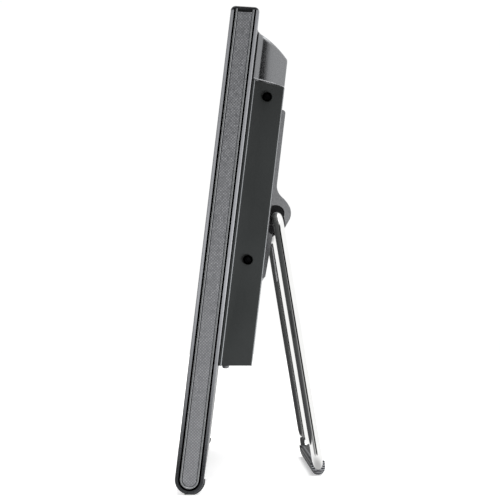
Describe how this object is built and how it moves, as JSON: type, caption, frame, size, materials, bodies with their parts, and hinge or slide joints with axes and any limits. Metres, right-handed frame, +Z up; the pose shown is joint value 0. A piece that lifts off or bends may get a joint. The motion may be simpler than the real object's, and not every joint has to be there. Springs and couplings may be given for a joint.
{
  "type": "digital photo frame",
  "caption": "Slim display frame leaning back on a folding chrome wire stand, with a rear housing, hinge plate, keys and rubber feet.",
  "frame": {"origin": "on the floor, under the middle of the object's box", "axes": "+X to the right seen from the front, the screen faces -Y, +Z up"},
  "size_m": [0.4, 0.0872, 0.2614],
  "materials": {
    "shell_plastic": "satin",
    "housing_plastic": "fine matt grain",
    "hood_plastic": "satin",
    "polished_rail": "polished",
    "strip_finish": "fine cross-hatched satin",
    "cover_glass": "polished",
    "black_print": "matt",
    "lcd_glass": "gloss",
    "module_white": "satin",
    "steel_sheet": "zinc plated",
    "lens": "clear",
    "rubber": "matt",
    "black_screws": "black oxide",
    "chrome_rod": "polished",
    "acetal": "smooth",
    "key_plastic": "satin",
    "circuit_board": "solder resist",
    "speaker_black": "matt",
    "cable_film": "film"
  },
  "bodies": {
    "frame": {"front_bezel": "shell_plastic", "rear_shell": "shell_plastic", "rear_housing": "housing_plastic", "housing_hood": "hood_plastic", "hinge_bracket": "hood_plastic", "side_trim_right": "polished_rail", "side_trim_left": "polished_rail", "side_inlay_right": "strip_finish", "side_inlay_left": "strip_finish", "cover_glass": "cover_glass", "display_mask": "black_print", "remote_window": "black_print", "lcd_panel": "lcd_glass", "backlight_unit": "module_white", "panel_bracket_right": "steel_sheet", "panel_bracket_left": "steel_sheet", "chassis_tray": "steel_sheet", "hinge_backing_plate": "steel_sheet", "card_slot": "steel_sheet", "usb_port": "steel_sheet", "backup_cell": "steel_sheet", "status_lens": "lens", "frame_foot_right": "rubber", "frame_foot_left": "rubber", "side_screws": "black_screws", "shell_screws": "black_screws", "bracket_screws": "black_screws", "hinge_bushing_right": "acetal", "hinge_bushing_left": "acetal", "power_inlet": "acetal", "main_board": "circuit_board", "key_board": "circuit_board", "speaker_right": "speaker_black", "speaker_left": "speaker_black", "display_cable": "cable_film"},
    "stand": {"stand": "chrome_rod", "stand_boot": "rubber"},
    "power_key": {"power_key": "key_plastic"},
    "key_down": {"key_down": "key_plastic"},
    "key_back": {"key_back": "key_plastic"},
    "key_enter": {"key_enter": "key_plastic"},
    "key_menu": {"key_menu": "key_plastic"},
    "key_up": {"key_up": "key_plastic"}
  },
  "joints": [
    {"name": "stand_hinge", "type": "hinge", "parent": "frame", "child": "stand", "pos_m": [0, 0.01439, 0.15673], "axis": [-1, 0, 0], "range_deg": [0, 15.8]},
    {"name": "key_down_travel", "type": "slide", "parent": "frame", "child": "key_down", "axis": [0, -0.9931, 0.117], "range_m": [0, 0.0008], "stiffness_N_per_m": 300, "springref_m": -0.0005},
    {"name": "key_back_travel", "type": "slide", "parent": "frame", "child": "key_back", "axis": [0, -0.9931, 0.117], "range_m": [0, 0.0008], "stiffness_N_per_m": 300, "springref_m": -0.0005},
    {"name": "key_enter_travel", "type": "slide", "parent": "frame", "child": "key_enter", "axis": [0, -0.9931, 0.117], "range_m": [0, 0.0008], "stiffness_N_per_m": 300, "springref_m": -0.0005},
    {"name": "key_menu_travel", "type": "slide", "parent": "frame", "child": "key_menu", "axis": [0, -0.9931, 0.117], "range_m": [0, 0.0008], "stiffness_N_per_m": 300, "springref_m": -0.0005},
    {"name": "key_up_travel", "type": "slide", "parent": "frame", "child": "key_up", "axis": [0, -0.9931, 0.117], "range_m": [0, 0.0008], "stiffness_N_per_m": 300, "springref_m": -0.0005},
    {"name": "power_key_travel", "type": "slide", "parent": "frame", "child": "power_key", "axis": [0, 0, 1], "range_m": [0, 0.0009], "stiffness_N_per_m": 300, "springref_m": -0.0005}
  ]
}
